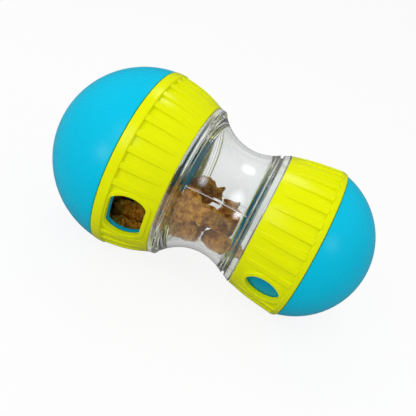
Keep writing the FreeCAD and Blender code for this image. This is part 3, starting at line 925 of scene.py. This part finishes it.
def tubeProfile():
    s, k = clearTube, corners
    large, small = flangeProfile(largeEnd), flangeProfile(smallEnd)
    largeNeck, smallNeck = largeEnd["neck"], smallEnd["neck"]
    largeBore, smallBore = largeNeck - s["neckWall"], smallNeck - s["neckWall"]
    largeTurn, flare = boreStation(largeBore), s["smallFlare"]

    def waist(start, stop, inward, count=44):
        return [(a, waistAt(a, inward), 0) for a in between(start, stop, count)]

    def neck(start, stop, radius, count=24):
        return [(a, radius, 0) for a in between(start, stop, count)]

    path = [(-a, r, rounding) for a, r, rounding in large]
    path += waist(-large[-1][0], small[-1][0], 0) + small[::-1]
    path += neck(s["smallFace"], smallEnd["ringEnd"], smallNeck)
    path += [(smallEnd["ringEnd"], smallNeck, k["end"]), (smallEnd["ringEnd"], smallBore, k["end"]),
             (s["smallStep"], smallBore, k["step"]),
             (s["smallStep"] - s["smallSlope"], waistAt(flare, s["wall"]), k["step"])]
    path += waist(flare, -largeTurn, s["wall"])
    path += [(-largeTurn, largeBore, k["bore"]), (-largeEnd["ringEnd"], largeBore, k["end"]),
             (-largeEnd["ringEnd"], largeNeck, k["end"])]
    path += neck(-largeEnd["ringEnd"], -s["largeFace"], largeNeck)
    return rounded(path, closed=True)


def threadShare(a, r):
    # full on the middle of each neck's outer face, none elsewhere
    end = largeEnd if a < 0 else smallEnd
    if abs(r - end["neck"]) > clearTube["neckSlack"]:
        return 0.0
    face = end["endFace"] - collarSizes["endGap"]
    way = (abs(a) - face) / (end["ringEnd"] - face)
    rise, lead = clearTube["threadRise"], clearTube["threadLead"]
    return max(0.0, min(1.0, way * rise - lead, (1 - way) * rise - lead))


def raiseSeam(mesh):
    # lifts one line of points on each side of the waist, from bead to bead
    s = clearTube
    start = s["largeFlange"] - s["largeFace"] + s["grooveWidth"]
    stop = s["smallFace"] - s["smallFlange"] - s["grooveWidth"]
    halfStep, tolerance = 180.0 / s["steps"] / 2, 0.05
    for vertex in mesh.vertices:
        a, y, z = vertex.co / mm
        r = math.hypot(y, z)
        turn = (180.0 - s["seamTurn"] - math.degrees(math.atan2(z, y))) % 180.0
        onLine = min(turn, 180.0 - turn) < halfStep
        if onLine and start < a < stop and abs(r - waistAt(a)) < tolerance:
            vertex.co *= Vector((1, 1 + s["seamHeight"] / r, 1 + s["seamHeight"] / r))


def makeTube():
    mesh = turnedMesh("clearTube", tubeProfile(), 1, clearTube["steps"], clearPlastic, threadShare,
                      clearTube["threadHeight"], clearTube["threadPitch"])
    raiseSeam(mesh)
    mesh = joined("clearTube", [mesh], clearPlastic)
    placePiece("clearTube", mesh, "clear_body", "clear_tube")


# biscuits: each is its solid's own form with crumbled edges and a rough baked skin

biscuitSizes = {
    "voxel": 0.5 * mm,
    "smoothing": 90,
    "filling": 0.75 * mm,                       # what the smoothing takes off
    "lumps": (0.9 * mm, 260.0),                 # depth and noise scale
    "crumbs": (0.75 * mm, 650.0), "detail": 3.0,
    "hollowed": (0.35, 0.62),                   # noise values from full depth to none
}


def makeCrumble():
    tree, given = newTree("crumble", "GeometryNodeTree", {
        "Geometry": "Geometry", "Lump Depth": "Float", "Lump Scale": "Float", "Crumb Depth": "Float",
        "Crumb Scale": "Float", "Seed": "Float", "Material": "Material"}, {"Geometry": "Geometry"})
    place = addNode(tree, "GeometryNodeInputPosition").outputs[0]
    normal = addNode(tree, "GeometryNodeInputNormal").outputs[0]
    sunk = None
    for depth, scale in (("Lump Depth", "Lump Scale"), ("Crumb Depth", "Crumb Scale")):
        rough = addNode(tree, "ShaderNodeTexNoise", {
            "Vector": place, "W": given["Seed"], "Scale": given[scale], "Detail": biscuitSizes["detail"]},
            noise_dimensions="4D").outputs[0]
        share = mapped(tree, rough, *biscuitSizes["hollowed"], 1.0, 0.0)
        part = product(tree, share, given[depth])
        sunk = part if sunk is None else math1(tree, "ADD", sunk, part)
    inward = addNode(tree, "ShaderNodeVectorMath", {0: normal, "Scale": product(tree, sunk, -1.0)},
                     operation="SCALE").outputs[0]
    shape = addNode(tree, "GeometryNodeSetPosition", {"Geometry": given["Geometry"], "Offset": inward})
    endTree(tree, shape.outputs[0], given["Material"])
    return tree


crumbleTree = makeCrumble()


def makeBiscuit(node, seed, body):
    s = biscuitSizes
    name = node.replace("_", "")
    work = bmesh.new()
    work.from_mesh(frame["nodes"][node].data)
    bmesh.ops.remove_doubles(work, verts=work.verts, dist=mergeDistance)
    dough = tempObject(name + "Dough", settled(name, work))
    modify(dough, "REMESH", mode="VOXEL", voxel_size=s["voxel"])
    modify(dough, "SMOOTH", iterations=s["smoothing"])
    modify(dough, "DISPLACE", mid_level=0.0, strength=s["filling"])
    addGeometryTree(dough, crumbleTree, {
        "Lump Depth": s["lumps"][0], "Lump Scale": s["lumps"][1], "Seed": float(seed),
        "Crumb Depth": s["crumbs"][0], "Crumb Scale": s["crumbs"][1], "Material": biscuitDough})
    result = applied(dough)
    bpy.data.objects.remove(dough)
    for face in result.polygons:
        face.use_smooth = True
    result.name = name
    paint(result, biscuitDough)
    placePiece(name, result, body, node)


# the pieces

largeWindow["outline"] = roundOutline(largeWindow)
smallWindow["outline"] = ovalOutline(smallWindow)
makeTube()
makeCollar("largeCollar", largeEnd, largeWindow, "large_end", "large_collar")
makeCollar("smallCollar", smallEnd, smallWindow, "small_end", "small_collar")
makeDome("largeDome", largeEnd, largeWindow, "large_cap", "large_dome")
makeDome("smallDome", smallEnd, smallWindow, "small_cap", "small_dome")
for body, nodes in sorted(frame["record"]["behaviour"]["bodies"].items()):
    for node in nodes:
        if node.startswith("biscuit"):
            makeBiscuit(node, int(node[-2:]), body)
print("pieces made")


# surroundings

surroundings = {
    # soft light from above, level and below
    "overhead": 0.70, "level": 0.64, "underneath": 0.30,
    # shares of white: what dull reflections see, and what clear plastic sees behind the toy,
    # in front of it and level with it, with the directions in Y and in Z that these lie between
    "inGloss": 0.10, "inGlass": 0.90, "inFront": 0.15, "horizon": 0.60,
    "depth": (-0.5, 0.2), "height": (0.05, 0.35),
    # the floor: far off, in glossy clear plastic, and through it, where more of its own shading shows
    "farFloor": 0.60, "farFrom": (0.15, 0.7), "floorOffGlass": 0.30, "floorInGlass": 0.40,
    "floorSize": 12.0, "floorColour": 0.92,
    "floorBounce": 0.45,     # its colour for the light that it throws back up
    "floorGlow": 0.88,       # share of it that is plain white to the camera
    # a lamp is this bright from its middle to its rim
    "lampCore": 2.0, "lampRim": 0.1, "lampFade": (0.1, 0.5),
}
lamps = [                    # name, place, size, watts
    ("top", (-0.32, -0.57, 0.62), 0.55, 1.4),
    ("left", (-0.56, -0.72, 0.26), 0.32, 1.2),
    ("right", (0.70, -0.41, 0.42), 0.34, 0.8),
    ("glint", (-0.14, 0.32, 0.90), 0.40, 1.1),
]


def lookedAt(tree, s, through, off):
    # which rays look at the surroundings, how white those find them that came through clear plastic,
    # off its surface or off something duller, and which came through it
    path = addNode(tree, "ShaderNodeLightPath").outputs
    passed = path["Is Transmission Ray"]
    bounced = math1(tree, "SUBTRACT", path["Is Singular Ray"], passed, clamp=True)
    gloss = product(tree, path["Is Glossy Ray"], s["inGloss"])
    glass = math1(tree, "MAXIMUM", product(tree, passed, through), product(tree, bounced, off))
    white = math1(tree, "MAXIMUM", path["Is Camera Ray"], math1(tree, "MAXIMUM", gloss, glass))
    looking = math1(tree, "MAXIMUM", path["Is Camera Ray"],
                    math1(tree, "MAXIMUM", path["Is Glossy Ray"], passed))
    return looking, white, passed


def addSurroundings(s):
    world = bpy.data.worlds.new("surroundings")
    scene.world = world
    world.use_nodes = True
    tree = world.node_tree
    tree.nodes.clear()
    way = addNode(tree, "ShaderNodeTexCoord").outputs["Generated"]
    way = addNode(tree, "ShaderNodeSeparateXYZ", {0: way}).outputs
    ramp = addNode(tree, "ShaderNodeValToRGB", {0: math1(tree, "MULTIPLY_ADD", way["Z"], 0.5, 0.5)})
    stops = ramp.color_ramp.elements
    stops[0].color = grey(s["underneath"])
    stops[1].color = grey(s["overhead"])
    stops.new(0.5).color = grey(s["level"])
    lighting = addNode(tree, "ShaderNodeBackground", {"Color": ramp.outputs["Color"]})
    back = mapped(tree, way["Y"], *s["depth"], s["inFront"], s["inGlass"])
    far = product(tree, back, mapped(tree, way["Z"], *s["height"], s["horizon"], 1.0))
    looking, white = lookedAt(tree, s, far, far)[:2]
    seen = addNode(tree, "ShaderNodeBackground", {"Color": grey(1), "Strength": white})
    addNode(tree, "ShaderNodeOutputWorld", {0: mixShader(tree, looking, lighting, seen).outputs[0]})


def addLamp(s, name, place, size, watts):
    # a soft disk that faces the toy
    data = bpy.data.lights.new(name, "AREA")
    data.shape = "DISK"
    data.size = size
    data.energy = watts
    data.use_nodes = True
    tree = data.node_tree
    spot = addNode(tree, "ShaderNodeNewGeometry").outputs["Parametric"]
    middle = math3(tree, "DISTANCE", spot, (0.5, 0.5, 0.0))
    fade = mapped(tree, middle, *s["lampFade"], s["lampCore"], s["lampRim"])
    connect(tree, tree.nodes["Emission"], {"Strength": fade})
    lamp = bpy.data.objects.new(name, data)
    lamp.location = place
    lamp.rotation_mode = "QUATERNION"
    lamp.rotation_quaternion = (Vector(place) - toyCentre).to_track_quat("Z", "Y")
    scene.collection.objects.link(lamp)


def addFloor(s):
    half = s["floorSize"] / 2
    mesh = meshOf("floor", [(-half, -half, 0), (half, -half, 0), (half, half, 0), (-half, half, 0)],
                  [(0, 1, 2, 3)])
    floor = tempObject("floor", mesh)
    material, tree, shader = newMaterial("floor")
    tree.nodes.remove(shader)
    bounces = addNode(tree, "ShaderNodeLightPath").outputs["Is Diffuse Ray"]
    shade = math1(tree, "MULTIPLY_ADD", bounces, s["floorBounce"] - s["floorColour"], s["floorColour"])
    lit = addNode(tree, "ShaderNodeBsdfDiffuse", {
        "Color": addNode(tree, "ShaderNodeCombineColor", {0: shade, 1: shade, 2: shade}).outputs[0]})
    away = math3(tree, "LENGTH", objectPlace(tree))
    through = mapped(tree, away, *s["farFrom"], 1.0, s["farFloor"])
    looking, white, passed = lookedAt(tree, s, through, s["floorOffGlass"])
    glow = addNode(tree, "ShaderNodeEmission", {"Strength": white})
    share = math1(tree, "MULTIPLY_ADD", passed, s["floorInGlass"] - s["floorGlow"],
                  product(tree, looking, s["floorGlow"]))
    endMaterial(tree, mixShader(tree, share, lit, glow))
    mesh.materials.append(material)


addSurroundings(surroundings)
for lamp in lamps:
    addLamp(surroundings, *lamp)
addFloor(surroundings)
scene.view_settings.view_transform = "Standard"
print("surroundings set")
